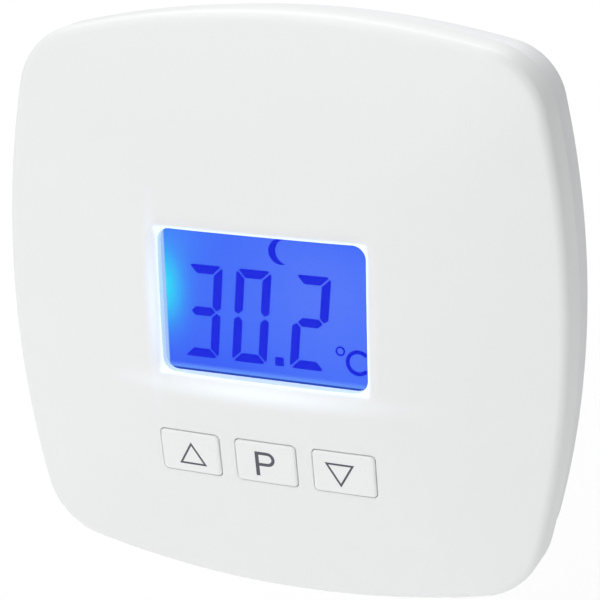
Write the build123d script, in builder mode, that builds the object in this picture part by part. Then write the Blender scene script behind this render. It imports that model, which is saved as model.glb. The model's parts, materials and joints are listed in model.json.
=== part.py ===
from build123d import *
from math import atan2, cos, degrees, radians, sin, sqrt
import os

os.makedirs("parts", exist_ok=True)

# Frame: the wall is the plane Y = 0, the front faces -Y and +Z is up. Every depth below is the
# distance in front of the wall, so a sketch at depth d lies on Plane.XZ.offset(d).

# Outline of the cover: four bowed sides with round corners
COVER_HALF = 43.0  # half of the width and of the height, at the middle of a side
SIDE_BOW = 139.0  # radius of a bowed side
CORNER_R = 11.0
BASE_HALF = 41.6
WALL = 2.0

# Depths of the two shells
BASE_WALL_TOP = 8.7
SPIGOT_TOP = 12.0
RIM = 9.1
EDGE = 15.15
DOME = 5.85  # height of the pillow front above the edge plane
ROLLOVER = 1.7
DOME_STEPS = (1.0, 0.93, 0.82, 0.68, 0.5, 0.2)

# Display
WINDOW_W, WINDOW_H, WINDOW_Z = 31.66, 21.43, 1.88
FLARE_START, FLARE_RISE, FLARE_SLOPE = 19.35, 2.6, 0.53  # bevel round the opening
POCKET_DEPTH = 18.3
PANE_T = 0.8
CELL_BACK, CELL_FRONT = 15.2, 17.2
CELL_W, CELL_H = 37.0, 28.0
SEGMENT_T = 0.1

# Keys
KEY_PITCH, KEY_Z = 12.02, -21.17
KEY_HOLE_W, KEY_HOLE_H, KEY_HOLE_R = 9.6, 6.75, 0.75
KEY_GAP = 0.15
KEY_POCKET = 17.7
KEY_TILT = 7.6  # degrees: the key tops follow the dome
KEY_TOP = 19.78
KEY_FLANGE_T = 0.8
LEGEND_T, LEGEND_STROKE = 0.05, 0.33
UP_CORNERS = ((-1.93, -1.95), (2.52, -1.95), (0.22, 1.74))  # printed triangles, from the key's middle
DOWN_CORNERS = ((-2.77, 1.63), (1.68, 1.6), (-0.52, -2.2))
PLUNGER_TIP = 16.4
STEM_TIP = 16.45

# Boards
POWER_BACK, POWER_FRONT = 3.6, 5.2
FRONT_BACK, FRONT_FRONT = 10.9, 12.1
POWER_SCREWS = ((-25, -30), (25, -30), (-26.5, 16), (26.5, 16))
FRONT_SCREWS = ((-23, -22), (23, -22), (-23, 17), (23, 17))

# Terminals
POLES = (-13.5, -4.5, 4.5, 13.5)
TERMINAL_Z = -32.2  # screw axis
TERMINAL_TOP = 13.6
SCREW_R, CLAMP_HOLE_R = 1.25, 1.3

# Wall fixing
WALL_SLOT_X, WALL_SLOT_W, WALL_SLOT_L = 30.0, 4.2, 8.0
ENTRY_W, ENTRY_H, ENTRY_Z = 28.0, 13.0, -9.5  # cable entry

REACH = SIDE_BOW - COVER_HALF  # the bow's centre lies this far beyond the middle
CORNER_AT = (-2 * REACH + sqrt(4 * REACH**2 - 8 * (REACH**2 - (SIDE_BOW - CORNER_R) ** 2))) / 4


def at(depth):
    """The plane parallel to the wall at this distance in front of it."""
    return Plane.XZ.offset(depth)


def outline(half, shrink=1.0):
    """The cover's outline set in evenly to a half-width, then shrunk about the middle."""
    inset = COVER_HALF - half
    side, corner = (SIDE_BOW - inset) * shrink, (CORNER_R - inset) * shrink
    bow, spot = REACH * shrink, CORNER_AT * shrink
    tip = degrees(atan2(CORNER_AT, CORNER_AT + REACH))
    with BuildSketch() as face:
        with BuildLine():
            for turn in (0, 90, 180, 270):
                t, u = radians(turn), radians(turn + 45)
                CenterArc((-bow * cos(t), -bow * sin(t)), side, turn - tip, 2 * tip)
                middle = (spot * sqrt(2) * cos(u), spot * sqrt(2) * sin(u))
                CenterArc(middle, corner, turn + tip, 90 - 2 * tip)
        make_face()
    return face.sketch


def rounded(width, height, radius, x=0.0, z=0.0):
    """A rounded rectangle about (x, z)."""
    with BuildSketch() as face:
        with Locations((x, z)):
            RectangleRounded(width, height, radius)
    return face.sketch


# ---------------------------------------------------------------- rear housing
with BuildPart() as rear_housing:
    with BuildSketch(at(0)):
        add(outline(BASE_HALF))
    extrude(amount=BASE_WALL_TOP)
    with BuildSketch(at(BASE_WALL_TOP)):
        add(outline(BASE_HALF - 1.0))
    extrude(amount=SPIGOT_TOP - BASE_WALL_TOP)
    with BuildSketch(at(WALL)):
        add(outline(39.2))
    extrude(amount=SPIGOT_TOP, mode=Mode.SUBTRACT)
    # board standoffs with pilot holes
    with BuildSketch(at(WALL)):
        with Locations(*POWER_SCREWS):
            Circle(3.0)
    extrude(amount=POWER_BACK - WALL)
    with BuildSketch(at(POWER_BACK)):
        with Locations(*POWER_SCREWS):
            Circle(1.15)
    extrude(amount=-2.8, mode=Mode.SUBTRACT)
    # cable entry through the back
    with BuildSketch(at(0)):
        add(rounded(ENTRY_W, ENTRY_H, 3, 0, ENTRY_Z))
    extrude(amount=WALL, mode=Mode.SUBTRACT)
    # slots for the wall screws
    with BuildSketch(at(0)):
        with Locations((-WALL_SLOT_X, 0), (WALL_SLOT_X, 0)):
            SlotOverall(WALL_SLOT_L, WALL_SLOT_W)
    extrude(amount=WALL, mode=Mode.SUBTRACT)
    # air slots in the bottom wall
    with BuildSketch(Plane.XY.offset(-BASE_HALF - 1)):
        with GridLocations(4.0, 1, 9, 1):
            with Locations((0, -5.2)):
                RectangleRounded(1.6, 4.2, 0.7)
    extrude(amount=5, mode=Mode.SUBTRACT)
    # ribs on the spigot that guide and grip the cover
    with BuildSketch(at(BASE_WALL_TOP)):
        with PolarLocations(BASE_HALF - 0.95, 4):
            Rectangle(0.5, 10)
    extrude(amount=2.0)
rear_housing.part.label = "rear_housing"
export_step(rear_housing.part, "parts/rear_housing.step")

# ---------------------------------------------------------------- front cover
with BuildPart() as front_cover:
    for step in DOME_STEPS:
        with BuildSketch(at(EDGE + DOME * (1 - step**2))):
            add(outline(COVER_HALF, step))
    loft()
    with BuildSketch(at(RIM)):
        add(outline(COVER_HALF))
    extrude(amount=EDGE - RIM)
    fillet(front_cover.edges().filter_by_position(Axis.Y, -EDGE - 0.01, -EDGE + 0.01), ROLLOVER)
    # hollow inside
    for step in DOME_STEPS:
        with BuildSketch(at(EDGE - WALL + DOME * (1 - step**2))):
            add(outline(COVER_HALF - WALL, step))
    loft(mode=Mode.SUBTRACT)
    with BuildSketch(at(RIM)):
        add(outline(COVER_HALF - WALL))
    extrude(amount=EDGE - WALL - RIM, mode=Mode.SUBTRACT)
    # bosses for the front board
    with BuildSketch(at(FRONT_FRONT)):
        with Locations(*FRONT_SCREWS):
            Circle(2.2)
    extrude(amount=5.2)
    with BuildSketch(at(FRONT_FRONT)):
        with Locations(*FRONT_SCREWS):
            Circle(1.0)
    extrude(amount=3.6, mode=Mode.SUBTRACT)
    # flat pockets behind the display and behind the keys
    with BuildSketch(at(CELL_BACK)):
        add(rounded(41, 30, 1, 0, WINDOW_Z + 0.12))
    extrude(amount=POCKET_DEPTH - CELL_BACK, mode=Mode.SUBTRACT)
    with BuildSketch(at(CELL_BACK)):
        add(rounded(38, 9.6, 1, 0, KEY_Z))
    extrude(amount=KEY_POCKET - CELL_BACK, mode=Mode.SUBTRACT)
    # key openings
    with BuildSketch(at(KEY_POCKET)):
        with Locations((0, KEY_Z)):
            with GridLocations(KEY_PITCH, 1, 3, 1):
                RectangleRounded(KEY_HOLE_W, KEY_HOLE_H, KEY_HOLE_R)
    extrude(amount=5, mode=Mode.SUBTRACT)
    # display opening, flaring out to the dome
    with BuildSketch(at(POCKET_DEPTH)):
        add(rounded(WINDOW_W, WINDOW_H, 2.0, 0, WINDOW_Z))
    extrude(amount=5, mode=Mode.SUBTRACT)
    for rise in (0.0, FLARE_RISE):
        spread = 2 * rise / FLARE_SLOPE
        with BuildSketch(at(FLARE_START + rise)):
            add(rounded(WINDOW_W + spread, WINDOW_H + spread, 2.0 + spread / 2, 0, WINDOW_Z))
    loft(mode=Mode.SUBTRACT)
front_cover.part.label = "front_cover"
export_step(front_cover.part, "parts/front_cover.step")

# ---------------------------------------------------------------- display
with BuildPart() as display_window:
    with BuildSketch(at(POCKET_DEPTH - PANE_T)):
        add(rounded(39, 28, 0.8, 0, WINDOW_Z))
    extrude(amount=PANE_T)
display_window.part.label = "display_window"
export_step(display_window.part, "parts/display_window.step")

with BuildPart() as lcd_cell:
    with BuildSketch(at(CELL_BACK)):
        add(rounded(CELL_W, CELL_H - 2.4, 0.4, 0, WINDOW_Z + 1.2))
    extrude(amount=(CELL_FRONT - CELL_BACK) / 2)
    # the front plate is longer at the bottom, where the connector strip meets it
    with BuildSketch(at((CELL_BACK + CELL_FRONT) / 2)):
        add(rounded(CELL_W, CELL_H, 0.4, 0, WINDOW_Z))
    extrude(amount=(CELL_FRONT - CELL_BACK) / 2)
lcd_cell.part.label = "lcd_cell"
export_step(lcd_cell.part, "parts/lcd_cell.step")

# Segment display: seven bars to a digit, leaning right
DIGIT_BOTTOM, DIGIT_H, DIGIT_W, BAR, BAR_GAP = -7.0, 13.95, 5.4, 1.3, 0.17
LEAN = 0.093
DIGIT_LEFT = (-13.4, -5.85, 3.15)  # left end of each digit's bottom edge
DIGIT_BARS = ("top upper_right middle lower_right bottom",
              "top upper_left upper_right lower_left lower_right bottom",
              "top upper_right middle lower_left bottom")  # 3, 0, 2


def bar_outline(bar):
    """Corners of one bar with its mitred or pointed ends, in an upright digit."""
    w, h, t, m, g = DIGIT_W, DIGIT_H, BAR, DIGIT_H / 2, BAR_GAP
    if bar == "top":
        return ((g + 0.4, h), (w - g - 0.4, h), (w - g - 0.2, h - 0.2), (w - t - g, h - t),
                (t + g, h - t), (g + 0.2, h - 0.2))
    if bar == "bottom":
        return ((g + 0.4, 0), (w - g - 0.4, 0), (w - g - 0.2, 0.2), (w - t - g, t), (t + g, t), (g + 0.2, 0.2))
    if bar == "middle":
        return ((t / 2 + g, m), (t + g, m + t / 2), (w - t - g, m + t / 2),
                (w - t / 2 - g, m), (w - t - g, m - t / 2), (t + g, m - t / 2))
    side = ((0, m + g + t / 3), (0, h - g - 0.4), (0.2, h - g - 0.2), (t, h - t - g),
            (t, m + t / 2 + g), (t / 2, m + g))
    if "lower" in bar:
        side = tuple((x, h - z) for x, z in side)
    if "right" in bar:
        side = tuple((w - x, z) for x, z in side)
    return side


with BuildPart() as lcd_segments:
    with BuildSketch(at(CELL_FRONT)):
        for left, bars in zip(DIGIT_LEFT, DIGIT_BARS):
            for bar in bars.split():
                with BuildLine():
                    Polyline(*[(left + x + LEAN * z, DIGIT_BOTTOM + z) for x, z in bar_outline(bar)],
                             close=True)
                make_face()
        # decimal dot
        with Locations((1.6, -6.3)):
            Rectangle(1.3, 1.3)
        # degree ring and C
        with Locations((10.95, -3.67)):
            Circle(0.72)
            Circle(0.47, mode=Mode.SUBTRACT)
        with BuildLine():
            c_arc = CenterArc((13.64, -5.14), 1.62, 50, 260)
            offset(c_arc, amount=0.28)
        make_face()
        # crescent moon
        with Locations((2.35, 10.0)):
            Circle(1.9)
        with Locations((3.4, 10.05)):
            Circle(1.9, mode=Mode.SUBTRACT)
    extrude(amount=SEGMENT_T)
lcd_segments.part.label = "lcd_segments"
export_step(lcd_segments.part, "parts/lcd_segments.step")

# clear block behind the cell that spreads the light
GUIDE_W, GUIDE_H, GUIDE_Z = 33.0, 24.0, 3.2
with BuildPart() as light_guide:
    with BuildSketch(at(FRONT_FRONT + 0.2)):
        add(rounded(GUIDE_W, GUIDE_H, 0.6, 0.6, GUIDE_Z))
    extrude(amount=CELL_BACK - FRONT_FRONT - 0.2)
light_guide.part.label = "light_guide"
export_step(light_guide.part, "parts/light_guide.step")

with BuildPart() as backlight_led:
    with BuildSketch(at(FRONT_FRONT)):
        with Locations((-16.7, GUIDE_Z)):
            Rectangle(1.2, 3.2)
    extrude(amount=1.8)
backlight_led.part.label = "backlight_led"
export_step(backlight_led.part, "parts/backlight_led.step")

with BuildPart() as connector_strip:
    with BuildSketch(at(FRONT_FRONT)):
        with Locations((0, -10.95)):
            Rectangle(32, 1.8)
    extrude(amount=(CELL_BACK + CELL_FRONT) / 2 - FRONT_FRONT)
connector_strip.part.label = "connector_strip"
export_step(connector_strip.part, "parts/connector_strip.step")

# frame that holds the cell on the front board, with two pegs
FRAME_W, FRAME_H = 40.0, 29.6
with BuildPart() as lcd_frame:
    with BuildSketch(at(FRONT_FRONT)):
        add(rounded(FRAME_W, FRAME_H, 0.8, 0, WINDOW_Z))
        add(rounded(CELL_W + 0.4, CELL_H + 0.4, 0.5, 0, WINDOW_Z), mode=Mode.SUBTRACT)
    extrude(amount=CELL_FRONT + 0.2 - FRONT_FRONT)
    with BuildSketch(at(FRONT_BACK - 0.6)):
        with Locations((-19.2, WINDOW_Z), (19.2, WINDOW_Z)):
            Circle(0.6)
    extrude(amount=FRONT_FRONT + 1 - FRONT_BACK + 0.6)
lcd_frame.part.label = "lcd_frame"
export_step(lcd_frame.part, "parts/lcd_frame.step")

# ---------------------------------------------------------------- front board and what is on it
with BuildPart() as front_board:
    with BuildSketch(at(FRONT_BACK)):
        add(rounded(51, 46, 2, 0, -3))
        with Locations(*FRONT_SCREWS):
            Circle(1.2, mode=Mode.SUBTRACT)
        with Locations((-19.2, WINDOW_Z), (19.2, WINDOW_Z)):
            Circle(0.65, mode=Mode.SUBTRACT)
        with Locations((0, 13)):
            with GridLocations(2.54, 1, 6, 1):
                Rectangle(0.8, 0.8, mode=Mode.SUBTRACT)
    extrude(amount=FRONT_FRONT - FRONT_BACK)
front_board.part.label = "front_board"
export_step(front_board.part, "parts/front_board.step")

with BuildPart() as front_board_screws:
    with BuildSketch(at(FRONT_BACK - 1.4)):
        with Locations(*FRONT_SCREWS):
            Circle(1.9)
    extrude(amount=1.4)
    with BuildSketch(at(FRONT_BACK)):
        with Locations(*FRONT_SCREWS):
            Circle(0.95)
    extrude(amount=4.4)
    with BuildSketch(at(FRONT_BACK - 1.4)):
        with Locations(*FRONT_SCREWS):
            Rectangle(2.4, 0.5)
            Rectangle(0.5, 2.4)
    extrude(amount=0.8, mode=Mode.SUBTRACT)
front_board_screws.part.label = "front_board_screws"
export_step(front_board_screws.part, "parts/front_board_screws.step")

with BuildPart() as microcontroller:
    with BuildSketch(at(FRONT_BACK - 1.5)):
        with Locations((-7, 2.5)):
            RectangleRounded(9, 9, 0.3)
    extrude(amount=1.4)
    # bent leads on four sides, reaching down to the board
    with BuildSketch(at(FRONT_BACK - 0.9)):
        with Locations((-7, 2.5)):
            with GridLocations(0.8, 1, 8, 1):
                Rectangle(0.35, 10.4)
            with GridLocations(1, 0.8, 1, 8):
                Rectangle(10.4, 0.35)
    extrude(amount=0.2)
    with BuildSketch(at(FRONT_BACK - 0.9)):
        for side_x, side_z, width, height in (
            (5.1, 0, 0.2, 0.35), (-5.1, 0, 0.2, 0.35), (0, 5.1, 0.35, 0.2), (0, -5.1, 0.35, 0.2)
        ):
            with Locations((-7 + side_x, 2.5 + side_z)):
                if side_x:
                    with GridLocations(1, 0.8, 1, 8):
                        Rectangle(width, height)
                else:
                    with GridLocations(0.8, 1, 8, 1):
                        Rectangle(width, height)
    extrude(amount=0.9)
microcontroller.part.label = "microcontroller"
export_step(microcontroller.part, "parts/microcontroller.step")

with BuildPart() as crystal:
    with BuildSketch(at(FRONT_BACK - 3.4)):
        with Locations((19, -4.7)):
            SlotOverall(10.2, 3.8, rotation=90)
    extrude(amount=3.0)
    with BuildSketch(at(FRONT_BACK - 0.4)):
        with Locations((19, -4.7)):
            SlotOverall(11.2, 4.7, rotation=90)
    extrude(amount=0.4)
crystal.part.label = "crystal"
export_step(crystal.part, "parts/crystal.step")

# temperature sensor: a bead hanging below the board by two leads, near the air slots
with BuildPart() as thermistor:
    with BuildSketch(at(FRONT_BACK + 0.4)):
        with Locations((-22.0, -28.3), (-21.0, -28.3)):
            Rectangle(0.35, 4.6)
    extrude(amount=0.35)
    with BuildSketch(at(FRONT_BACK - 0.2)):
        with Locations((-21.5, -31.0)):
            SlotOverall(2.8, 1.9, rotation=90)
    extrude(amount=1.5)
thermistor.part.label = "thermistor"
export_step(thermistor.part, "parts/thermistor.step")

with BuildPart() as header_pins:
    with BuildSketch(at(7.2)):
        with Locations((0, 13)):
            with GridLocations(2.54, 1, 6, 1):
                Rectangle(0.64, 0.64)
    extrude(amount=FRONT_FRONT + 0.1 - 7.2)
header_pins.part.label = "header_pins"
export_step(header_pins.part, "parts/header_pins.step")

with BuildPart() as header_strip:
    with BuildSketch(at(FRONT_BACK - 1.6)):
        with Locations((0, 13)):
            Rectangle(15.6, 2.5)
            with GridLocations(2.54, 1, 6, 1):
                Rectangle(0.66, 0.66, mode=Mode.SUBTRACT)
    extrude(amount=1.6)
header_strip.part.label = "header_strip"
export_step(header_strip.part, "parts/header_strip.step")

# ---------------------------------------------------------------- keys and their switches
key_face = Plane(origin=(0, -KEY_TOP, KEY_Z), x_dir=(1, 0, 0),
                 z_dir=(0, -cos(radians(KEY_TILT)), -sin(radians(KEY_TILT))))

for name, x in (("up", -KEY_PITCH), ("mode", 0), ("down", KEY_PITCH)):
    with BuildPart() as key:
        with BuildSketch(at(STEM_TIP)):
            with Locations((x, KEY_Z)):
                Circle(1.8)
        extrude(amount=KEY_POCKET - 0.1 - STEM_TIP)
        with BuildSketch(at(KEY_POCKET - 0.1 - KEY_FLANGE_T)):
            add(rounded(11.0, 8.2, 1.2, x, KEY_Z))
        extrude(amount=KEY_FLANGE_T)
        with BuildSketch(at(KEY_POCKET - 0.1)):
            add(rounded(KEY_HOLE_W - 2 * KEY_GAP, KEY_HOLE_H - 2 * KEY_GAP, KEY_HOLE_R - KEY_GAP, x, KEY_Z))
        extrude(amount=4)
        split(bisect_by=key_face, keep=Keep.BOTTOM)
        fillet(key.edges().filter_by_position(Axis.Y, -21, -19.2), 0.35)
    key.part.label = "key_" + name
    export_step(key.part, f"parts/key_{name}.step")

    with BuildPart() as legend:
        with BuildSketch(key_face):
            if name == "mode":
                with Locations((0, 1.05)):
                    SlotOverall(3.0, 1.8)
                    SlotOverall(1.9, 0.7, mode=Mode.SUBTRACT)
                with Locations((-1.5, 1.05)):
                    Rectangle(0.9, 2.2, mode=Mode.SUBTRACT)
                with Locations((-1.3, 0)):
                    Rectangle(0.55, 3.9)
            else:
                corners = UP_CORNERS if name == "up" else DOWN_CORNERS
                with BuildLine():
                    Polyline(*[(x + across, up) for across, up in corners], close=True)
                make_face()
                offset(amount=-LEGEND_STROKE, kind=Kind.INTERSECTION, mode=Mode.SUBTRACT)
        extrude(amount=LEGEND_T)
    legend.part.label = "legend_" + name
    export_step(legend.part, f"parts/legend_{name}.step")

    with BuildPart() as plunger:
        with BuildSketch(at(15.3)):
            with Locations((x, KEY_Z)):
                Circle(1.7)
        extrude(amount=PLUNGER_TIP - 15.3)
    plunger.part.label = "plunger_" + name
    export_step(plunger.part, f"parts/plunger_{name}.step")

    with BuildPart() as switch:
        with BuildSketch(at(FRONT_FRONT)):
            with Locations((x, KEY_Z)):
                RectangleRounded(6, 6, 0.3)
        extrude(amount=3.5)
        with BuildSketch(at(FRONT_FRONT + 3.5)):
            with Locations((x, KEY_Z)):
                Circle(1.8)
        extrude(amount=-0.9, mode=Mode.SUBTRACT)
        # four feet on the board
        with BuildSketch(at(FRONT_FRONT)):
            with Locations((x, KEY_Z)):
                with GridLocations(7.0, 4.5, 2, 2):
                    Rectangle(1.4, 0.7)
        extrude(amount=0.3)
    switch.part.label = "switch_" + name
    export_step(switch.part, f"parts/switch_{name}.step")

# ---------------------------------------------------------------- power board and what is on it
with BuildPart() as power_board:
    with BuildSketch(at(POWER_BACK)):
        add(rounded(62, 73, 6))
        # opening for the wires, and notches that clear the wall screws
        add(rounded(ENTRY_W + 1, ENTRY_H + 1, 2, 0, ENTRY_Z), mode=Mode.SUBTRACT)
        with Locations((-31, 0), (31, 0)):
            RectangleRounded(13, 12, 2, mode=Mode.SUBTRACT)
        with Locations(*POWER_SCREWS):
            Circle(1.35, mode=Mode.SUBTRACT)
        with Locations(*[(x, -35.4) for x in POLES]):
            Rectangle(1.2, 1.2, mode=Mode.SUBTRACT)
    extrude(amount=POWER_FRONT - POWER_BACK)
power_board.part.label = "power_board"
export_step(power_board.part, "parts/power_board.step")

with BuildPart() as power_board_screws:
    with BuildSketch(at(POWER_FRONT)):
        with Locations(*POWER_SCREWS):
            Circle(2.3)
    extrude(amount=1.6)
    with BuildSketch(at(POWER_FRONT)):
        with Locations(*POWER_SCREWS):
            Circle(1.1)
    extrude(amount=-4.1)
    with BuildSketch(at(POWER_FRONT + 1.6)):
        with Locations(*POWER_SCREWS):
            Rectangle(2.8, 0.6)
            Rectangle(0.6, 2.8)
    extrude(amount=-0.9, mode=Mode.SUBTRACT)
power_board_screws.part.label = "power_board_screws"
export_step(power_board_screws.part, "parts/power_board_screws.step")

with BuildPart() as relay:
    with BuildSketch(at(POWER_FRONT)):
        add(rounded(20, 10.4, 0.6, 14, 28))
    extrude(amount=9.2)
    fillet(relay.faces().sort_by(Axis.Y)[0].edges(), 0.5)
relay.part.label = "relay"
export_step(relay.part, "parts/relay.step")

with BuildPart() as film_capacitor:
    with BuildSketch(at(POWER_FRONT)):
        add(rounded(13, 6, 0.5, -5, 28))
    extrude(amount=8.6)
    fillet(film_capacitor.faces().sort_by(Axis.Y)[0].edges(), 0.4)
film_capacitor.part.label = "film_capacitor"
export_step(film_capacitor.part, "parts/film_capacitor.step")

# lying can with its rolled groove and two leads bent into the board
with BuildPart() as electrolytic_capacitor:
    with BuildSketch(Plane.YZ.offset(-26)):
        with Locations((-POWER_FRONT - 4.05, 26)):
            Circle(4.0)
    extrude(amount=11.5)
    with BuildSketch(Plane.YZ.offset(-16.8)):
        with Locations((-POWER_FRONT - 4.05, 26)):
            Circle(4.1)
            Circle(3.6, mode=Mode.SUBTRACT)
    extrude(amount=0.8, mode=Mode.SUBTRACT)
    with BuildSketch(Plane.YZ.offset(-14.5)):
        with Locations((-POWER_FRONT - 4.05, 24.5), (-POWER_FRONT - 4.05, 27.5)):
            Circle(0.3)
    extrude(amount=1.2)
    with BuildSketch(at(POWER_FRONT)):
        with Locations((-13.3, 24.5), (-13.3, 27.5)):
            Circle(0.38)
    extrude(amount=4.5)
electrolytic_capacitor.part.label = "electrolytic_capacitor"
export_step(electrolytic_capacitor.part, "parts/electrolytic_capacitor.step")

with BuildPart() as varistor:
    with BuildSketch(at(POWER_FRONT + 0.5)):
        with Locations((27, -14)):
            Circle(3.6)
    extrude(amount=3.2)
    fillet(varistor.edges(), 0.9)
    with BuildSketch(at(POWER_FRONT)):
        with Locations((24.8, -14), (29.2, -14)):
            Circle(0.35)
    extrude(amount=1.0)
varistor.part.label = "varistor"
export_step(varistor.part, "parts/varistor.step")

with BuildPart() as fuse:
    with BuildSketch(Plane.XY.offset(-20)):
        with Locations((20.8, -POWER_FRONT - 2.0)):
            Circle(1.8)
    extrude(amount=9.0)
    for z in (-20, -13):
        with BuildSketch(Plane.XY.offset(z)):
            with Locations((20.8, -POWER_FRONT - 2.0)):
                Circle(2.0)
        extrude(amount=2.0)
fuse.part.label = "fuse"
export_step(fuse.part, "parts/fuse.step")

with BuildPart() as rectifier_diodes:
    for z in (-10.0, -14.5, -19.0, -23.5):
        with BuildSketch(Plane.YZ.offset(-27.3)):
            with Locations((-POWER_FRONT - 1.4, z)):
                Circle(1.35)
        extrude(amount=4.6)
        with BuildSketch(Plane.YZ.offset(-29.3)):
            with Locations((-POWER_FRONT - 1.4, z)):
                Circle(0.35)
        extrude(amount=8.6)
        with BuildSketch(at(POWER_FRONT)):
            with Locations((-28.9, z), (-21.1, z)):
                Circle(0.45)
        extrude(amount=1.9)
rectifier_diodes.part.label = "rectifier_diodes"
export_step(rectifier_diodes.part, "parts/rectifier_diodes.step")

with BuildPart() as dropper_resistor:
    with BuildSketch(Plane.YZ.offset(-19)):
        with Locations((-POWER_FRONT - 2.1, 14)):
            Circle(1.8)
    extrude(amount=9)
    fillet(dropper_resistor.edges(), 0.6)
    with BuildSketch(Plane.YZ.offset(-21)):
        with Locations((-POWER_FRONT - 2.1, 14)):
            Circle(0.35)
    extrude(amount=13)
    with BuildSketch(at(POWER_FRONT)):
        with Locations((-20.6, 14), (-8.4, 14)):
            Circle(0.45)
    extrude(amount=2.6)
dropper_resistor.part.label = "dropper_resistor"
export_step(dropper_resistor.part, "parts/dropper_resistor.step")

with BuildPart() as regulator:
    with BuildSketch(at(POWER_FRONT + 0.2)):
        with Locations((15, 14)):
            Rectangle(6.6, 3.6)
    extrude(amount=1.6)
    with BuildSketch(at(POWER_FRONT)):
        with Locations((15, 17)):
            Rectangle(3.0, 3.0)
        with Locations((15, 11)):
            with GridLocations(2.3, 1, 3, 1):
                Rectangle(0.7, 3.0)
    extrude(amount=0.3)
regulator.part.label = "regulator"
export_step(regulator.part, "parts/regulator.step")

with BuildPart() as header_socket:
    with BuildSketch(at(POWER_FRONT)):
        with Locations((0, 13)):
            Rectangle(15.6, 2.6)
            with GridLocations(2.54, 1, 6, 1):
                Rectangle(0.8, 0.8, mode=Mode.SUBTRACT)
    extrude(amount=3.6)
header_socket.part.label = "header_socket"
export_step(header_socket.part, "parts/header_socket.step")

# ---------------------------------------------------------------- terminals
# Each screw turns in place and lifts a cage, which grips the wire against a fixed contact.
CAGE_W, CAGE_D, CAGE_T = 6.0, 5.0, 0.5
CAGE_BACK, CAGE_FRONT = 6.0, 9.9
CONTACT_BACK, CONTACT_FRONT = 8.1, 8.5
WEB_BACK, WEB_FRONT = 11.1, 11.6
BLOCK_Z, BLOCK_H = -31.9, 9.3

with BuildPart() as terminal_block:
    with BuildSketch(at(POWER_FRONT)):
        with Locations((0, BLOCK_Z)):
            Rectangle(37, BLOCK_H)
    extrude(amount=TERMINAL_TOP - POWER_FRONT)
    chamfer(terminal_block.edges().filter_by(Axis.X).group_by(Axis.Y)[0], 0.6)
    # chamber of each clamp
    with BuildSketch(at(5.8)):
        with Locations(*[(x, TERMINAL_Z) for x in POLES]):
            Rectangle(CAGE_W + 0.5, CAGE_D + 0.5)
    extrude(amount=WEB_BACK - 5.8, mode=Mode.SUBTRACT)
    # wire mouths in the upper side
    with BuildSketch(at(6.2)):
        with Locations(*[(x, BLOCK_Z + BLOCK_H / 2) for x in POLES]):
            Rectangle(4.9, 5.6)
    extrude(amount=2.6, mode=Mode.SUBTRACT)
    # slot for the foot of each contact
    with BuildSketch(at(POWER_FRONT)):
        with Locations(*[(x, -35.3) for x in POLES]):
            Rectangle(1.4, 1.4)
    extrude(amount=CONTACT_FRONT + 0.1 - POWER_FRONT, mode=Mode.SUBTRACT)
    # screw wells
    with BuildSketch(at(WEB_FRONT)):
        with Locations(*[(x, TERMINAL_Z) for x in POLES]):
            Circle(2.2)
    extrude(amount=3, mode=Mode.SUBTRACT)
    with BuildSketch(at(WEB_BACK)):
        with Locations(*[(x, TERMINAL_Z) for x in POLES]):
            Circle(1.4)
    extrude(amount=1, mode=Mode.SUBTRACT)
terminal_block.part.label = "terminal_block"
export_step(terminal_block.part, "parts/terminal_block.step")

with BuildPart() as terminal_contacts:
    with BuildSketch(at(CONTACT_BACK)):
        with Locations(*[(x, TERMINAL_Z - 0.9) for x in POLES]):
            Rectangle(1.3, 5.4)
        with Locations(*[(x, TERMINAL_Z + 0.1) for x in POLES]):
            Rectangle(4.4, 4.6)
    extrude(amount=CONTACT_FRONT - CONTACT_BACK)
    with BuildSketch(at(3.2)):
        with Locations(*[(x, -35.35) for x in POLES]):
            Rectangle(1.0, 0.9)
    extrude(amount=CONTACT_FRONT - 3.2)
terminal_contacts.part.label = "terminal_contacts"
export_step(terminal_contacts.part, "parts/terminal_contacts.step")

for number, x in enumerate(POLES, start=1):
    with BuildPart() as screw:
        with BuildSketch(at(CONTACT_FRONT + 0.05)):
            with Locations((x, TERMINAL_Z)):
                Circle(SCREW_R)
        extrude(amount=WEB_FRONT + 0.1 - CONTACT_FRONT)
        with BuildSketch(at(WEB_FRONT + 0.05)):
            with Locations((x, TERMINAL_Z)):
                Circle(1.95)
        extrude(amount=1.5)
        with BuildSketch(at(WEB_FRONT + 1.55)):
            with Locations((x, TERMINAL_Z)):
                Rectangle(4, 0.6)
        extrude(amount=-0.8, mode=Mode.SUBTRACT)
    screw.part.label = f"terminal_screw_{number}"
    export_step(screw.part, f"parts/terminal_screw_{number}.step")

    with BuildPart() as clamp:
        with BuildSketch(at(CAGE_BACK)):
            with Locations((x, TERMINAL_Z)):
                Rectangle(CAGE_W, CAGE_D)
        extrude(amount=CAGE_FRONT - CAGE_BACK)
        # way through for the wire and the contact
        with BuildSketch(at(CAGE_BACK + CAGE_T)):
            with Locations((x, TERMINAL_Z)):
                Rectangle(CAGE_W - 2 * CAGE_T, CAGE_D + 1)
        extrude(amount=CAGE_FRONT - CAGE_BACK - CAGE_T - 0.7, mode=Mode.SUBTRACT)
        # threaded hole for the screw
        with BuildSketch(at(CAGE_FRONT)):
            with Locations((x, TERMINAL_Z)):
                Circle(CLAMP_HOLE_R)
        extrude(amount=-1.0, mode=Mode.SUBTRACT)
    clamp.part.label = f"terminal_clamp_{number}"
    export_step(clamp.part, f"parts/terminal_clamp_{number}.step")
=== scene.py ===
import json
import math

import bmesh
import bpy
import numpy as np
from mathutils import Matrix, Vector
from mathutils.geometry import delaunay_2d_cdt


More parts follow.
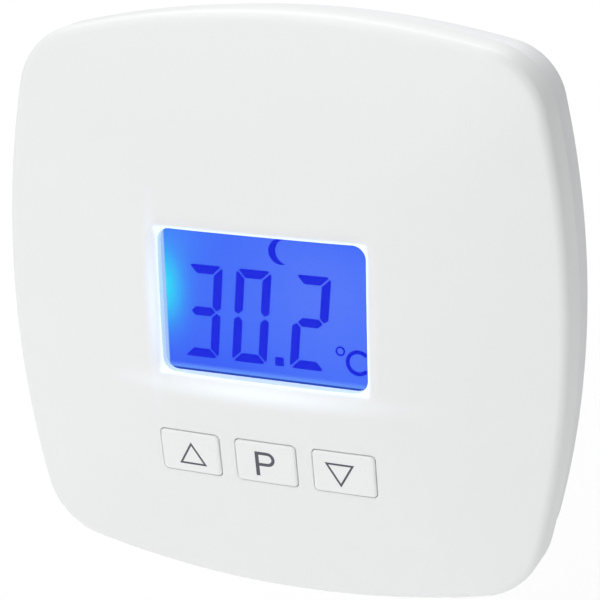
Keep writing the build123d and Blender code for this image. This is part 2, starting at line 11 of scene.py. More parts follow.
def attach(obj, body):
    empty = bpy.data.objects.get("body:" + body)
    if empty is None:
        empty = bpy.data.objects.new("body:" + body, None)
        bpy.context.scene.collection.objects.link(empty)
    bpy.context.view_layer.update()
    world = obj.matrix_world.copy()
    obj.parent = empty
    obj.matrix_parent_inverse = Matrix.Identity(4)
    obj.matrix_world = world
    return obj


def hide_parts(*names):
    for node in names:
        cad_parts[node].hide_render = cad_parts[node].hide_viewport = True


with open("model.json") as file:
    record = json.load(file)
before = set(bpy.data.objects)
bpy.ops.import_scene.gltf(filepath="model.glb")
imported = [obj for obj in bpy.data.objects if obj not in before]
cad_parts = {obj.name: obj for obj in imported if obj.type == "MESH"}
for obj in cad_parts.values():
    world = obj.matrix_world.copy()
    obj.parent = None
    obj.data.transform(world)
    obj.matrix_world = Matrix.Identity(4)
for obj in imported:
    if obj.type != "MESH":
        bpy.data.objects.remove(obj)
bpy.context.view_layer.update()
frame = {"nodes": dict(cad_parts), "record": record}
nodes = frame["nodes"]
MM = 0.001

# Shape of the thermostat in millimetres. "depth" is the distance in front of the wall.
COVER_HALF, SIDE_BOW, CORNER_R = 43.0, 139.0, 11.0
REACH = SIDE_BOW - COVER_HALF
CORNER_AT = (-2 * REACH + math.sqrt(4 * REACH**2 - 8 * (REACH**2 - (SIDE_BOW - CORNER_R) ** 2))) / 4
TIP = math.atan2(CORNER_AT, CORNER_AT + REACH)
BASE_INSET, SPIGOT_INSET, WALL = 1.4, 2.4, 2.0
BASE_TOP, RIM, EDGE, DOME, ROLLOVER = 8.7, 9.1, 15.15, 5.85, 1.7
WINDOW = (0.0, 1.88, 31.66, 21.43, 2.0)  # x, z, width, height, corner radius
BEVEL = (0.0, 1.70, 35.3, 26.0, 4.0)
BEVEL_DEPTH = 0.84
KEY_PITCH, KEY_Z = 12.02, -21.17
KEYS = (("up", -KEY_PITCH), ("mode", 0.0), ("down", KEY_PITCH))
KEY_HOLE_W, KEY_HOLE_H, KEY_HOLE_R, KEY_GAP = 9.6, 6.75, 0.75, 0.1
KEY_PROUD, KEY_EDGE = 0.22, 0.4
STEM_R = 1.8
POCKET_DEPTH, KEY_POCKET = 18.3, 17.7
EDGE_SLOPE = 14.6  # degrees: the dome's slope where the rounded edge begins
PAINTED_GLOW_REACH = 0.35  # how far the painted glow of the backlight spreads on the plastic round the window


# ---------------------------------------------------------------- outlines
def cover_loop(inset, side_steps=72, corner_steps=36):
    """Points and outward normals round the cover's outline, set in evenly."""
    turns = []
    for quarter in range(4):
        q = quarter * math.pi / 2
        turns += [("side", q, q - TIP + 2 * TIP * i / side_steps) for i in range(side_steps)]
        span = math.pi / 2 - 2 * TIP
        turns += [("corner", q, q + TIP + span * i / corner_steps) for i in range(corner_steps)]
    points, normals = [], []
    for kind, q, a in turns:
        n = np.array((math.cos(a), math.sin(a)))
        if kind == "side":
            centre, radius = -REACH * np.array((math.cos(q), math.sin(q))), SIDE_BOW
        else:
            d = q + math.pi / 4
            centre = CORNER_AT * math.sqrt(2) * np.array((math.cos(d), math.sin(d)))
            radius = CORNER_R
        points.append(centre + (radius - inset) * n)
        normals.append(n)
    return np.array(points), np.array(normals)


def rect_loop(x, z, width, height, radius, step=0.9, corner_steps=10):
    """Points round a rounded rectangle. The number of points depends only on step and corner_steps."""
    points = []
    for sx, sz, start in ((1, 1, 0), (-1, 1, 90), (-1, -1, 180), (1, -1, 270)):
        cx, cz = x + sx * (width / 2 - radius), z + sz * (height / 2 - radius)
        for i in range(corner_steps + 1):
            a = math.radians(start + 90 * i / corner_steps)
            points.append((cx + radius * math.cos(a), cz + radius * math.sin(a)))
    closed = points + points[:1]
    result = []
    for (ax, az), (bx, bz) in zip(closed, closed[1:]):
        pieces = max(1, round(math.hypot(bx - ax, bz - az) / step)) if step else 1
        result += [(ax + (bx - ax) * i / pieces, az + (bz - az) * i / pieces) for i in range(pieces)]
    return np.array(result)


def rect_distance(x, z, box):
    """Signed distance from a rounded rectangle, negative inside."""
    cx, cz, width, height, radius = box
    qx = np.abs(x - cx) - width / 2 + radius
    qz = np.abs(z - cz) - height / 2 + radius
    return np.hypot(np.maximum(qx, 0), np.maximum(qz, 0)) + np.minimum(np.maximum(qx, qz), 0) - radius


def share_of_outline(x, z):
    """0 in the middle of the cover, 1 on its outline, in even squircles between."""
    ax, az = np.abs(x) + 1e-9, np.abs(z) + 1e-9
    hi, lo = np.maximum(ax, az), np.minimum(ax, az)
    a = hi**2 + lo**2
    b = 2 * REACH * hi
    t = (-b + np.sqrt(b * b - 4 * a * (REACH**2 - SIDE_BOW**2))) / (2 * a)
    b2 = -2 * CORNER_AT * (hi + lo)
    root = np.maximum(b2 * b2 - 4 * a * (2 * CORNER_AT**2 - CORNER_R**2), 0)
    t2 = (-b2 + np.sqrt(root)) / (2 * a)
    return 1 / np.where(lo * t > SIDE_BOW * math.sin(TIP), t2, t)


def dome(x, z):
    return EDGE + DOME * (1 - share_of_outline(x, z) ** 2)


def key_box(x, inset=0.0):
    return (x, KEY_Z, KEY_HOLE_W - 2 * inset, KEY_HOLE_H - 2 * inset, KEY_HOLE_R - inset)


LIP = 0.22  # rounding of the key openings


def cover_face(x, z):
    """Depth of the cover's front: the dome, less the bevel of the window and the lips of the key openings."""
    inner, outer = rect_distance(x, z, WINDOW), rect_distance(x, z, BEVEL)
    u = np.clip(inner / np.maximum(inner - outer, 1e-6), 0, 1)
    depth = dome(x, z) - BEVEL_DEPTH * np.where(outer < 0, (1 - u) ** 1.7, 0)
    for _, kx in KEYS:
        d = np.clip(rect_distance(x, z, key_box(kx)), 0, LIP)
        depth = depth - (LIP - np.sqrt(LIP**2 - (LIP - d) ** 2))
    return depth


def cover_inside(x, z):
    """Depth of the cover's inner side, with the flat pockets behind the window and the keys."""
    grow = COVER_HALF / (COVER_HALF - WALL)
    depth = EDGE - WALL + DOME * (1 - np.minimum(share_of_outline(x, z) * grow, 1) ** 2)
    depth = np.where(rect_distance(x, z, (0, 2.0, 41, 30, 1)) < 0.01, POCKET_DEPTH, depth)
    return np.where(rect_distance(x, z, (0, KEY_Z, 38, 9.6, 1)) < 0.01, np.maximum(depth, KEY_POCKET), depth)


# ---------------------------------------------------------------- mesh building
class Shell:
    """Collects sheets and strips and welds them into one mesh."""

    def __init__(self):
        self.bm = bmesh.new()

    def sheet(self, loops, depth, holes=(), spacing=0.0, clear=0.5, reach=None, keep=None):
        """A triangulated sheet. depth is a number or a function of x and z; reach holds loose points in."""
        points, edges = [], []
        for loop in loops:
            first = len(points)
            points += [tuple(p) for p in loop]
            edges += [(first + i, first + (i + 1) % len(loop)) for i in range(len(loop))]
        if spacing:
            fixed = np.array(points)
            low, high = loops[0].min(0), loops[0].max(0)
            rows = np.arange(low[1], high[1], spacing * 0.866)
            for row, z in enumerate(rows):
                xs = np.arange(low[0] + (row % 2) * spacing / 2, high[0], spacing)
                for x in xs:
                    if reach and share_of_outline(x, z) > reach:
                        continue
                    if any(rect_distance(x, z, h) < clear for h in holes):
                        continue
                    if np.min((fixed[:, 0] - x) ** 2 + (fixed[:, 1] - z) ** 2) > clear**2:
                        points.append((x, z))
        result = delaunay_2d_cdt([Vector(p) for p in points], edges, [], 0, 1e-6)
        xy = np.array([(v.x, v.y) for v in result[0]])
        d = depth(xy[:, 0], xy[:, 1]) if callable(depth) else np.full(len(xy), float(depth))
        verts = [self.bm.verts.new((x * MM, -y * MM, z * MM)) for (x, z), y in zip(xy, d)]
        for tri in result[2]:
            cx, cz = xy[tri].mean(0)
            if any(rect_distance(cx, cz, h) < 0 for h in holes):
                continue
            if keep and not keep(cx, cz):
                continue
            self.bm.faces.new([verts[i] for i in tri])

    def strip(self, rows):
        """Quads between closed rows of (x, depth, z) points, each row as long as the first."""
        grid = [[self.bm.verts.new((p[0] * MM, -p[1] * MM, p[2] * MM)) for p in row] for row in rows]
        for low, high in zip(grid, grid[1:]):
            for i in range(len(low)):
                j = (i + 1) % len(low)
                self.bm.faces.new((low[i], low[j], high[j], high[i]))

    def prism(self, loop, low, high):
        """Walls along a loop between two depths, which are numbers or functions of x and z."""
        rows = []
        for level in (low, high):
            d = level(loop[:, 0], loop[:, 1]) if callable(level) else np.full(len(loop), float(level))
            rows.append([(x, y, z) for (x, z), y in zip(loop, d)])
        self.strip(rows)

    def finish(self, name, body, material, sharp=32.0, replaces=()):
        bmesh.ops.remove_doubles(self.bm, verts=self.bm.verts, dist=2e-6)
        bmesh.ops.dissolve_degenerate(self.bm, edges=self.bm.edges, dist=1e-7)
        bmesh.ops.recalc_face_normals(self.bm, faces=self.bm.faces)
        mesh = bpy.data.meshes.new(name)
        self.bm.to_mesh(mesh)
        self.bm.free()
        for polygon in mesh.polygons:
            polygon.use_smooth = True
        mesh.set_sharp_from_angle(angle=math.radians(sharp))
        piece = bpy.data.objects.new(name, mesh)
        bpy.context.collection.objects.link(piece)
        mesh.materials.append(material)
        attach(piece, body)
        if replaces:
            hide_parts(*replaces)
        return piece


def at_depth(loop, depth):
    d = depth(loop[:, 0], loop[:, 1]) if callable(depth) else np.full(len(loop), float(depth))
    return [(x, y, z) for (x, z), y in zip(loop, d)]


# ---------------------------------------------------------------- materials
def new_material(name):
    material = bpy.data.materials.new(name)
    material.use_nodes = True
    tree = material.node_tree
    return material, tree, tree.nodes["Principled BSDF"]


def moulded(name, colour, roughness=0.45, grain=0.25, bump=0.04, variation=0.02, metallic=0.0,
            specular=0.5, coat=0.0, rough_spread=0.08):
    """A moulded or coated surface: fine grain, faint uneven colour and gloss, all in object space."""
    material, tree, shader = new_material(name)
    nodes_, links = tree.nodes, tree.links
    place = nodes_.new("ShaderNodeTexCoord")
    fine = nodes_.new("ShaderNodeTexNoise")
    fine.inputs["Scale"].default_value = 1000 / grain
    fine.inputs["Detail"].default_value = 3
    broad = nodes_.new("ShaderNodeTexNoise")
    broad.inputs["Scale"].default_value = 60
    broad.inputs["Detail"].default_value = 4
    for texture in (fine, broad):
        links.new(place.outputs["Object"], texture.inputs["Vector"])
    tint = nodes_.new("ShaderNodeMix")
    tint.data_type = "RGBA"
    tint.inputs[6].default_value = [c * (1 - variation) for c in colour] + [1]
    tint.inputs[7].default_value = [min(1, c * (1 + variation)) for c in colour] + [1]
    links.new(broad.outputs["Fac"], tint.inputs[0])
    links.new(tint.outputs[2], shader.inputs["Base Color"])
    gloss = nodes_.new("ShaderNodeMapRange")
    gloss.inputs["To Min"].default_value = roughness - rough_spread
    gloss.inputs["To Max"].default_value = roughness + rough_spread
    links.new(fine.outputs["Fac"], gloss.inputs["Value"])
    links.new(gloss.outputs["Result"], shader.inputs["Roughness"])
    raised = nodes_.new("ShaderNodeBump")
    raised.inputs["Strength"].default_value = bump
    raised.inputs["Distance"].default_value = 0.0002
    links.new(fine.outputs["Fac"], raised.inputs["Height"])
    links.new(raised.outputs["Normal"], shader.inputs["Normal"])
    shader.inputs["Metallic"].default_value = metallic
    shader.inputs["Specular IOR Level"].default_value = specular
    shader.inputs["Coat Weight"].default_value = coat
    return material


def math_node(tree, kind, *values):
    node = tree.nodes.new("ShaderNodeMath")
    node.operation = kind
    for socket, value in zip(node.inputs, values):
        if isinstance(value, (int, float)):
            socket.default_value = value
        else:
            tree.links.new(value, socket)
    return node.outputs[0]


def blob(tree, apart, cx, cz, rx, rz):
    """A soft round patch, 1 at its centre, in millimetres on the front of the thermostat."""
    dx = math_node(tree, "MULTIPLY", math_node(tree, "SUBTRACT", apart.outputs["X"], cx * MM), 1 / (rx * MM))
    dz = math_node(tree, "MULTIPLY", math_node(tree, "SUBTRACT", apart.outputs["Z"], cz * MM), 1 / (rz * MM))
    r2 = math_node(tree, "ADD", math_node(tree, "MULTIPLY", dx, dx), math_node(tree, "MULTIPLY", dz, dz))
    return math_node(tree, "POWER", math.e, math_node(tree, "MULTIPLY", r2, -1))


def mix_colour(tree, base, top, amount):
    node = tree.nodes.new("ShaderNodeMix")
    node.data_type = "RGBA"
    for socket, value in ((node.inputs[6], base), (node.inputs[7], top)):
        if isinstance(value, tuple):
            socket.default_value = (*value, 1)
        else:
            tree.links.new(value, socket)
    tree.links.new(amount, node.inputs[0])
    return node.outputs[2]


def paint_display_glow(material, window):
    """Painted glow: emission on the plastic round the window stands in for the display's light on the bevel
    and the opening's walls, with painted paler glow below and left.
    """
    tree = material.node_tree
    shader = tree.nodes["Principled BSDF"]
    place = tree.nodes.new("ShaderNodeTexCoord")
    apart = tree.nodes.new("ShaderNodeSeparateXYZ")
    tree.links.new(place.outputs["Object"], apart.inputs[0])
    cx, cz, width, height = window[:4]
    past = []
    for axis, centre, size in (("X", cx, width), ("Z", cz, height)):
        off = math_node(tree, "ABSOLUTE", math_node(tree, "SUBTRACT", apart.outputs[axis], centre * MM))
        past.append(math_node(tree, "MAXIMUM", math_node(tree, "SUBTRACT", off, size / 2 * MM), 0.0))
    far = math_node(tree, "ADD", *[math_node(tree, "MULTIPLY", p, p) for p in past])
    rim = math_node(tree, "POWER", math.e, math_node(tree, "MULTIPLY", far, -1 / (PAINTED_GLOW_REACH * MM) ** 2))
    # painted glow: pale blue emission that fades out from the window's edge
    colour = mix_colour(tree, (0.0, 0.0, 0.0), (0.22, 0.36, 0.62), rim)
    # painted glow: a paler patch on the bevel below the window
    colour = mix_colour(tree, colour, (0.13, 0.17, 0.21), blob(tree, apart, -1, -10.4, 15, 1.4))
    # painted glow: a bluer patch on the left wall of the opening
    colour = mix_colour(tree, colour, (0.10, 0.18, 0.34), blob(tree, apart, -16.7, 1.9, 0.8, 9))
    tree.links.new(colour, shader.inputs["Emission Color"])
    shader.inputs["Emission Strength"].default_value = 1.0


WHITE = (0.85, 0.86, 0.86)
white_shell = moulded("white_shell", WHITE, 0.42, grain=0.3, bump=0.05, variation=0.008)
# paint the display's glow onto the cover's white plastic
paint_display_glow(white_shell, WINDOW)
white_rear = moulded("white_rear", (0.82, 0.83, 0.84), 0.5, grain=0.3, bump=0.08, variation=0.01)
white_key = moulded("white_key", (0.87, 0.88, 0.88), 0.3, grain=0.4, bump=0.02, variation=0.006)
key_ink = moulded("key_ink", (0.09, 0.09, 0.115), 0.6, grain=0.12, bump=0.15, variation=0.12)

# ---------------------------------------------------------------- front cover
HOLES = [WINDOW] + [key_box(x) for _, x in KEYS]
cover = Shell()

# side wall, rim, inner wall and the rounded edge, all on the same columns
tangent = ROLLOVER * (1 - math.sin(math.radians(EDGE_SLOPE)))
edge_points, edge_normals = cover_loop(0)
inner_ring = edge_points - tangent * edge_normals
probe = 0.05
slope = (dome(*(inner_ring - probe * edge_normals).T)
         - dome(*(inner_ring + probe * edge_normals).T)) / (2 * probe)
lean = np.arctan(slope)
ball_depth = dome(*inner_ring.T) - ROLLOVER * np.cos(lean)
rows = []
rim_round = 0.25
for k in range(5):  # small rounding of the rim
    a = math.radians(90 * k / 4)
    ring = edge_points - rim_round * (1 - math.sin(a)) * edge_normals
    rows.append(at_depth(ring, RIM + rim_round * (1 - math.cos(a))))
ROLL_STEPS = 12
for k in range(ROLL_STEPS + 1):
    a = (math.pi / 2 - lean) * k / ROLL_STEPS
    ring = edge_points - (ROLLOVER - ROLLOVER * np.cos(a))[:, None] * edge_normals
    depth_row = ball_depth + ROLLOVER * np.sin(a)
    rows.append([(x, d, z) for (x, z), d in zip(ring, depth_row)])
outer_ring = np.array([(p[0], p[2]) for p in rows[-1]])
inner_wall, _ = cover_loop(WALL)
inner_lip, _ = cover_loop(WALL - 0.2)
rows = [at_depth(inner_wall, RIM + 0.2), at_depth(inner_lip, RIM)] + rows
rows = [at_depth(inner_wall, EDGE - WALL)] + rows
cover.strip(rows)


face_loops = [outer_ring]
for inset in (2.2, 3.4, 5.2):
    face_loops.append(cover_loop(inset, 48, 20)[0])
window_inner, window_outer = rect_loop(*WINDOW, step=0), rect_loop(*BEVEL, step=0)
bevel_rows = []
for u in (0, 0.04, 0.1, 0.18, 0.28, 0.4, 0.54, 0.7, 0.86, 1.0):
    corners = window_inner + (window_outer - window_inner) * u
    closed = np.vstack([corners, corners[:1]])
    dense = []
    for a, b in zip(closed, closed[1:]):
        pieces = max(1, round(math.hypot(*(b - a)) / 0.8)) if math.hypot(*(b - a)) > 3 else 1
        dense += [a + (b - a) * i / pieces for i in range(pieces)]
    bevel_rows.append(np.array(dense))
face_loops += bevel_rows
key_rows = {}
for name, x in KEYS:
    for out in (0.0, 0.015, 0.05, 0.1, 0.16, LIP, 0.45):
        box = key_box(x, -out)
        loop = rect_loop(*box, step=0.7, corner_steps=8)
        if out == 0:
            key_rows[name] = loop
        face_loops.append(loop)


cover.sheet(face_loops, cover_face, holes=HOLES, spacing=1.25, clear=0.55, reach=0.9)
# walls of the openings
window_loop = bevel_rows[0]
cover.prism(window_loop, POCKET_DEPTH, cover_face)
for name, _ in KEYS:
    cover.prism(key_rows[name], KEY_POCKET, cover_face)
# inner side
back_loops = [inner_wall, window_loop] + list(key_rows.values())
for box in ((0, 2.0, 41, 30, 1), (0, KEY_Z, 38, 9.6, 1)):
    back_loops.append(rect_loop(*box, step=2, corner_steps=4))
    x, z, w, h, r = box
    back_loops.append(rect_loop(x, z, w + 0.06, h + 0.06, r + 0.03, step=2, corner_steps=4))
cover.sheet(back_loops, cover_inside, holes=HOLES, spacing=2.5, clear=0.8, reach=0.92)
cover.finish("cover_shell", "cover", white_shell, replaces=("front_cover",))

# ---------------------------------------------------------------- rear housing
ENTRY = (0.0, -9.5, 28.0, 13.0, 3.0)
SLOTS = [(-30.0, 0.0, 8.0, 4.2, 2.09), (30.0, 0.0, 8.0, 4.2, 2.09)]
rear = Shell()
profile = [(1.9, 0.0), (1.65, 0.06), (1.47, 0.22), (BASE_INSET, 0.45), (BASE_INSET, 8.5), (1.46, 8.64),
           (1.6, BASE_TOP), (SPIGOT_INSET, BASE_TOP),
           (2.4, 11.7), (2.5, 11.9), (2.7, 12.0), (3.6, 12.0), (3.8, 11.8), (3.8, 2.3), (4.1, 2.0)]
rear.strip([at_depth(cover_loop(inset)[0], depth) for inset, depth in profile])
openings = [rect_loop(*box, step=1.5, corner_steps=8) for box in [ENTRY] + SLOTS]
rear.sheet([cover_loop(1.9)[0]] + openings, 0.0, holes=[ENTRY] + SLOTS)
rear.sheet([cover_loop(4.1)[0]] + openings, 2.0, holes=[ENTRY] + SLOTS)
for loop in openings:
    rear.prism(loop, 0.0, 2.0)
rear_piece = rear.finish("rear_shell", "base", white_rear, replaces=("rear_housing",))

# air slots cut through the bottom wall
cutter = bmesh.new()
for column in range(9):
    x = (column - 4) * 4.0
    ring = rect_loop(x, 5.2, 1.6, 4.2, 0.7, step=0, corner_steps=5)
    low = [cutter.verts.new((p[0] * MM, -p[1] * MM, -0.0430)) for p in ring]
    high = [cutter.verts.new((p[0] * MM, -p[1] * MM, -0.0375)) for p in ring]
    cutter.faces.new(low)
    cutter.faces.new(list(reversed(high)))
    for i in range(len(low)):
        j = (i + 1) % len(low)
        cutter.faces.new((low[j], low[i], high[i], high[j]))
bmesh.ops.recalc_face_normals(cutter, faces=cutter.faces)
cutter_mesh = bpy.data.meshes.new("slot_cutter")
cutter.to_mesh(cutter_mesh)
cutter.free()
cutter_piece = bpy.data.objects.new("slot_cutter", cutter_mesh)
bpy.context.collection.objects.link(cutter_piece)
cut = rear_piece.modifiers.new("slots", "BOOLEAN")
cut.operation, cut.solver, cut.object = "DIFFERENCE", "EXACT", cutter_piece
bpy.context.view_layer.update()
cut_mesh = bpy.data.meshes.new_from_object(rear_piece.evaluated_get(bpy.context.evaluated_depsgraph_get()))
rear_piece.modifiers.clear()
rear_piece.data = cut_mesh
cut_mesh.set_sharp_from_angle(angle=math.radians(32))
bpy.data.objects.remove(cutter_piece)


def turned(name, body, material, spots, profile_, steps=40, sharp=32.0, replaces=()):
    """Turned pieces on axes along Y: each spot is (x, z), each profile point (radius, depth)."""
    shell = Shell()
    for x, z in spots:
        rows_ = []
        for radius, depth in profile_:
            rows_.append([(x + radius * math.cos(2 * math.pi * i / steps), depth,
                           z + radius * math.sin(2 * math.pi * i / steps)) for i in range(steps)])
        shell.strip(rows_)
    return shell.finish(name, body, material, sharp=sharp, replaces=replaces)


POWER_SCREWS = ((-25, -30), (25, -30), (-26.5, 16), (26.5, 16))
FRONT_SCREWS = ((-23, -22), (23, -22), (-23, 17), (23, 17))
turned("housing_standoffs", "base", white_rear, POWER_SCREWS,
       ((3.4, 2.0), (3.1, 2.3), (3.0, 3.4), (2.8, 3.6), (1.3, 3.6), (1.15, 3.45), (1.15, 0.8), (0.02, 0.8)))
turned("cover_bosses", "cover", white_shell, FRONT_SCREWS,
       ((2.6, 17.0), (2.3, 16.4), (2.15, 12.3), (2.05, 12.1), (1.15, 12.1), (1.0, 12.25), (1.0, 15.7),
        (0.02, 15.7)))


# ---------------------------------------------------------------- keys and their printed legends
def key_top(x, z):
    """Depth of a key's crowned top, rounded off at its edges."""
    depth = dome(x, z) + KEY_PROUD
    for _, kx in KEYS:
        inset = np.clip(-rect_distance(x, z, key_box(kx, KEY_GAP)), 0, KEY_EDGE)
        inside = rect_distance(x, z, key_box(kx, KEY_GAP)) < 0.3
        drop = KEY_EDGE - np.sqrt(np.maximum(KEY_EDGE**2 - (KEY_EDGE - inset) ** 2, 0))
        depth = depth - np.where(inside, drop, 0)
    return depth


def inside_polygon(x, z, polygon):
    hit = False
    for (ax, az), (bx, bz) in zip(polygon, np.roll(polygon, -1, axis=0)):
        if (az > z) != (bz > z) and x < (bx - ax) * (z - az) / (bz - az) + ax:
            hit = not hit
    return hit


def refine(polygon, step):
    """More points along a polygon's sides, so that it can follow a curved face."""
    points = []
    for a, b in zip(polygon, np.roll(polygon, -1, axis=0)):
        pieces = max(1, round(float(np.hypot(*(b - a))) / step))
        points += [a + (b - a) * i / pieces for i in range(pieces)]
    return np.array(points)


def shrink_triangle(corners, amount):
    """A triangle with its sides moved inwards by the same amount."""
    centre = corners.mean(0)
    sides = [np.hypot(*(corners[i] - corners[(i + 1) % 3])) for i in range(3)]
    incentre = (corners[0] * sides[1] + corners[1] * sides[2] + corners[2] * sides[0]) / sum(sides)
    d = corners[1] - corners[0]
    radius = abs(d[0] * (incentre[1] - corners[0][1]) - d[1] * (incentre[0] - corners[0][0])) / np.hypot(*d)
    return incentre + (corners - incentre) * (1 - amount / radius)


def arc(cx, cz, radius, start, stop, steps=14):
    return [(cx + radius * math.cos(math.radians(start + (stop - start) * i / steps)),
             cz + radius * math.sin(math.radians(start + (stop - start) * i / steps)))
            for i in range(steps + 1)]


triangle_up = np.array([(-11.8, -19.45), (-13.95, -23.1), (-9.5, -23.1)])
triangle_down = np.array([(9.25, -19.55), (13.7, -19.6), (11.5, -23.35)])
letter_outer = np.array([(-1.57, -23.25), (-1.0, -23.25), (-1.0, -21.63), *arc(0.35, -20.49, 1.14, -90, 90),
                         (-1.57, -19.35)])
letter_inner = np.array([(-1.0, -21.15), *arc(0.33, -20.49, 0.66, -90, 90), (-1.0, -19.83)])
LEGENDS = {"up": (triangle_up, shrink_triangle(triangle_up, 0.3)),
           "mode": (letter_outer, letter_inner),
           "down": (triangle_down, shrink_triangle(triangle_down, 0.3))}

for name, x in KEYS:
    key = Shell()
    rings = [rect_loop(*key_box(x, KEY_GAP + inset), step=0.7, corner_steps=8)
             for inset in (0, 0.012, 0.045, 0.1, 0.17, 0.27, 0.4, 0.62)]
    key.sheet(rings, key_top, spacing=0.7, clear=0.35,
              keep=lambda cx, cz, x=x: rect_distance(cx, cz, key_box(x, KEY_GAP)) < 0)
    cap_low = 17.6
    key.prism(rings[0], cap_low, key_top)
    # flange under the cap, and the stem that reaches the switch
    flange = rect_loop(x, KEY_Z, 11.0, 8.2, 1.2, step=0.7, corner_steps=8)
    key.sheet([flange, rings[0]], cap_low,
              keep=lambda cx, cz, x=x: rect_distance(cx, cz, key_box(x, KEY_GAP)) > 0)
    key.prism(flange, 16.8, cap_low)
    stem = np.array([(x + STEM_R * math.cos(a), KEY_Z + STEM_R * math.sin(a))
                     for a in np.linspace(0, 2 * math.pi, 33)[:-1]])
    key.sheet([flange, stem], 16.8, keep=lambda cx, cz, x=x: math.hypot(cx - x, cz - KEY_Z) > 1.79)
    key.prism(stem, 16.45, 16.8)
    key.sheet([stem], 16.45)
    key.finish("keycap_" + name, "key_" + name, white_key, replaces=("key_" + name,))

    outer, inner = (refine(p, 0.35) for p in LEGENDS[name])
    ink = Shell()
    within = lambda cx, cz, o=outer, i=inner: inside_polygon(cx, cz, o) and not inside_polygon(cx, cz, i)
    for lift in (-0.05, 0.015):
        ink.sheet([outer, inner], lambda px, pz, lift=lift: key_top(px, pz) + lift, keep=within)
    for loop in (outer, inner):
        ink.prism(loop, lambda px, pz: key_top(px, pz) - 0.05, lambda px, pz: key_top(px, pz) + 0.015)
    ink.finish("print_" + name, "key_" + name, key_ink, replaces=("legend_" + name,))


# ---------------------------------------------------------------- display
def glow(name, strength):
    """The lit display: blue, cyan where the lamp enters at the left, with a pale strip along the bottom."""
    material, tree, shader = new_material(name)
    nodes_, links = tree.nodes, tree.links
    place = nodes_.new("ShaderNodeTexCoord")
    apart = nodes_.new("ShaderNodeSeparateXYZ")
    links.new(place.outputs["Object"], apart.inputs[0])

    def mix(base, top, amount):
        return mix_colour(tree, base, top, amount)

    def spot(*place):
        return blob(tree, apart, *place)

    colour = mix((0.042, 0.140, 0.955), (0.085, 0.185, 0.965), spot(9, 4, 13, 13))
    colour = mix(colour, (0.037, 0.105, 0.93), spot(-9, -10, 9, 4.5))
    colour = mix(colour, (0.040, 0.125, 0.96), spot(15, 14, 9, 3))
    colour = mix(colour, (0.052, 0.210, 0.97), spot(-14, 11, 5, 5))
    colour = mix(colour, (0.020, 0.85, 0.97), spot(-16.6, 3.2, 3.0, 5.2))
    low_edge = nodes_.new("ShaderNodeMapRange")
    low_edge.inputs["From Min"].default_value, low_edge.inputs["From Max"].default_value = -0.0081, -0.0087
    links.new(apart.outputs["Z"], low_edge.inputs["Value"])
    colour = mix(colour, (0.13, 0.30, 0.98), low_edge.outputs["Result"])
    # painted shadow: a dark blue line along the bottom of the display, where the pane meets the opening's
    # wall
    painted_gap_shadow = nodes_.new("ShaderNodeMapRange")
    painted_gap_shadow.inputs["From Min"].default_value = -0.00892
    painted_gap_shadow.inputs["From Max"].default_value = -0.00902
    links.new(apart.outputs["Z"], painted_gap_shadow.inputs["Value"])
    colour = mix(colour, (0.015, 0.055, 0.38), painted_gap_shadow.outputs["Result"])
    left_edge = nodes_.new("ShaderNodeMapRange")
    left_edge.inputs["From Min"].default_value, left_edge.inputs["From Max"].default_value = -0.0158, -0.0160
    links.new(apart.outputs["X"], left_edge.inputs["Value"])
    colour = mix(colour, (0.43, 0.62, 0.95), left_edge.outputs["Result"])
    mottle = nodes_.new("ShaderNodeTexNoise")
    mottle.inputs["Scale"].default_value = 900
    mottle.inputs["Detail"].default_value = 2
    links.new(place.outputs["Object"], mottle.inputs["Vector"])
    colour = mix(colour, (0.085, 0.19, 0.98), math_node(tree, "MULTIPLY", mottle.outputs["Fac"], 0.10))
    links.new(colour, shader.inputs["Emission Color"])
    shader.inputs["Emission Strength"].default_value = strength
    shader.inputs["Base Color"].default_value = (0.01, 0.02, 0.10, 1)
    shader.inputs["Roughness"].default_value = 0.5
    shader.inputs["Specular IOR Level"].default_value = 0.1
    return material


def clear(name, colour, alpha, roughness=0.04):
    """Clear plastic with faint surface waviness."""
    material = moulded(name, colour, roughness + 0.02, grain=1.2, bump=0.01, variation=0.01,
                       rough_spread=0.02)
    material.node_tree.nodes["Principled BSDF"].inputs["Alpha"].default_value = alpha
    return material


display_glow = glow("lcd_blue", 1.0)
ink_material = moulded("lcd_ink", (0.005, 0.006, 0.10), 0.4, grain=0.2, bump=0.0, variation=0.1)
ink_shader = ink_material.node_tree.nodes["Principled BSDF"]
ink_shader.inputs["Emission Color"].default_value = (0.004, 0.014, 0.74, 1)
ink_shader.inputs["Emission Strength"].default_value = 1.0
ink_shader.inputs["Specular IOR Level"].default_value = 0.05

# ---------------------------------------------------------------- camera, floor and light
CAMERA_AT = (0.11017, -0.25595, 0.08932)
FLOOR_Z = -0.16
camera_data = bpy.data.cameras.new("camera")
camera = bpy.data.objects.new("camera", camera_data)
bpy.context.collection.objects.link(camera)
right = Vector((0.918832, 0.393618, -0.028286))
up = Vector((-0.099124, 0.299575, 0.948908))
back = Vector((0.381982, -0.869083, 0.314280))
camera.matrix_world = Matrix((
    (right.x, up.x, back.x, CAMERA_AT[0]), (right.y, up.y, back.y, CAMERA_AT[1]),
    (right.z, up.z, back.z, CAMERA_AT[2]), (0, 0, 0, 1)))
camera_data.lens, camera_data.sensor_width = 118.27, 36.0
camera_data.shift_x, camera_data.shift_y = -0.0024, 0.0029
camera_data.clip_start = 0.01
bpy.context.scene.camera = camera

floor_mesh = bpy.data.meshes.new("floor")
floor_mesh.from_pydata([(-6, -6, 0), (6, -6, 0), (6, 6, 0), (-6, 6, 0)], [], [(0, 1, 2, 3)])
floor = bpy.data.objects.new("floor", floor_mesh)
floor.location.z = FLOOR_Z
bpy.context.collection.objects.link(floor)
floor_mesh.materials.append(moulded("floor_paint", (0.93, 0.93, 0.93), 0.7, grain=3, bump=0.02,
                                    variation=0.004))

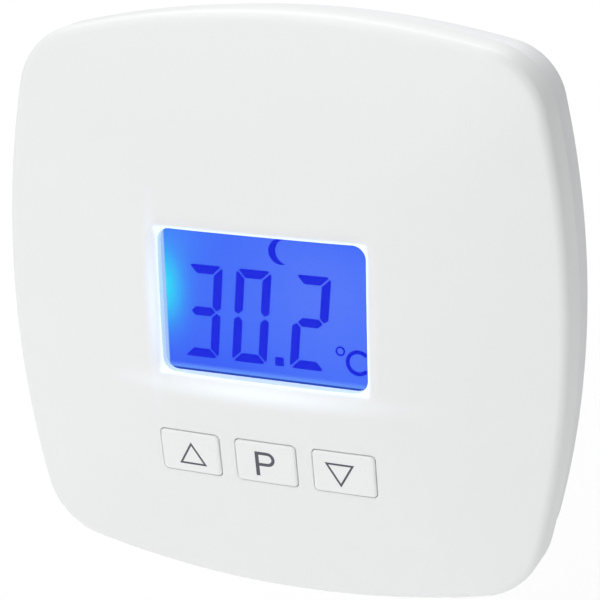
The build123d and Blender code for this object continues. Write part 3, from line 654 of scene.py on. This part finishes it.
LIGHTS = {"key": ((-0.5, -1.2, 1.0), (0, 0, 0), 1.2, 6.1), "top": ((-0.4, -0.1, 1.5), (0, 0, 0), 1.4, 11.0),
          "front": ((0.3, -1.6, 0.2), (0, 0, 0), 1.2, 6.0), "left": ((-1.5, -0.4, 0.3), (0, 0, 0), 1.2, 1.0),
          "backdrop": ((-0.45, 1.35, 1.1), (-0.4, 1.0, -0.16), 1.5, 14.0)}
for name, (place_, aim, size, power) in LIGHTS.items():
    light = bpy.data.lights.new(name, "AREA")
    light.shape, light.size, light.energy = "SQUARE", size, power
    lamp = bpy.data.objects.new(name, light)
    lamp.location = place_
    lamp.rotation_euler = (Vector(aim) - Vector(place_)).to_track_quat("-Z", "Y").to_euler()
    bpy.context.collection.objects.link(lamp)

world = bpy.data.worlds.new("studio")
bpy.context.scene.world = world
world.use_nodes = True
world.node_tree.nodes["Background"].inputs[0].default_value = (1, 1, 1, 1)
world.node_tree.nodes["Background"].inputs[1].default_value = 0.35
bpy.context.scene.view_settings.view_transform = "Standard"

# ---------------------------------------------------------------- finishes of the parts from the CAD
FINISH = {
    "lcd_blue": display_glow, "lcd_ink": ink_material,
    "clear_window": clear("clear_window", (0.02, 0.03, 0.06), 0.06),
    "light_guide": moulded("light_guide", (0.5, 0.7, 0.95), 0.2, grain=0.6, bump=0.02),
    "led": moulded("led", (0.6, 0.8, 1.0), 0.15),
    "frame_plastic": moulded("frame_plastic", (0.72, 0.73, 0.75), 0.5, grain=0.3, bump=0.1),
    "connector_rubber": moulded("connector_rubber", (0.5, 0.27, 0.3), 0.75, grain=0.2, bump=0.2,
                                variation=0.15),
    "board_green": moulded("board_green", (0.02, 0.15, 0.06), 0.35, grain=0.5, bump=0.08, variation=0.18),
    "chip_black": moulded("chip_black", (0.018, 0.018, 0.02), 0.55, grain=0.15, bump=0.2, variation=0.2),
    "metal_can": moulded("metal_can", (0.62, 0.62, 0.6), 0.28, grain=0.3, bump=0.06, metallic=1.0),
    "pin_gold": moulded("pin_gold", (0.83, 0.62, 0.26), 0.25, grain=0.3, bump=0.04, metallic=1.0),
    "screw_steel": moulded("screw_steel", (0.68, 0.68, 0.7), 0.25, grain=0.2, bump=0.1, metallic=1.0),
    "relay_case": moulded("relay_case", (0.03, 0.09, 0.33), 0.3, grain=0.3, bump=0.06, variation=0.06),
    "capacitor_yellow": moulded("capacitor_yellow", (0.72, 0.5, 0.06), 0.35, grain=0.3, bump=0.06,
                                variation=0.05),
    "sleeve_black": moulded("sleeve_black", (0.02, 0.02, 0.035), 0.22, grain=0.5, bump=0.05, variation=0.2),
    "varistor_blue": moulded("varistor_blue", (0.02, 0.13, 0.38), 0.25, grain=0.9, bump=0.2, variation=0.1),
    "fuse_glass": moulded("fuse_glass", (0.7, 0.72, 0.7), 0.12, grain=0.5, bump=0.02, variation=0.1),
    "resistor_body": moulded("resistor_body", (0.4, 0.5, 0.56), 0.35, grain=0.4, bump=0.15, variation=0.08),
    "terminal_green": moulded("terminal_green", (0.07, 0.3, 0.15), 0.4, grain=0.3, bump=0.08, variation=0.05),
    "clamp_metal": moulded("clamp_metal", (0.66, 0.64, 0.58), 0.35, grain=0.2, bump=0.12, metallic=1.0),
    "white_shell": white_shell, "white_rear": white_rear, "white_key": white_key, "key_ink": key_ink,
}
for entry in frame["record"]["subparts"]:
    piece = nodes[entry["node"]]
    piece.data.materials.clear()
    piece.data.materials.append(FINISH[entry["material_slot"]])
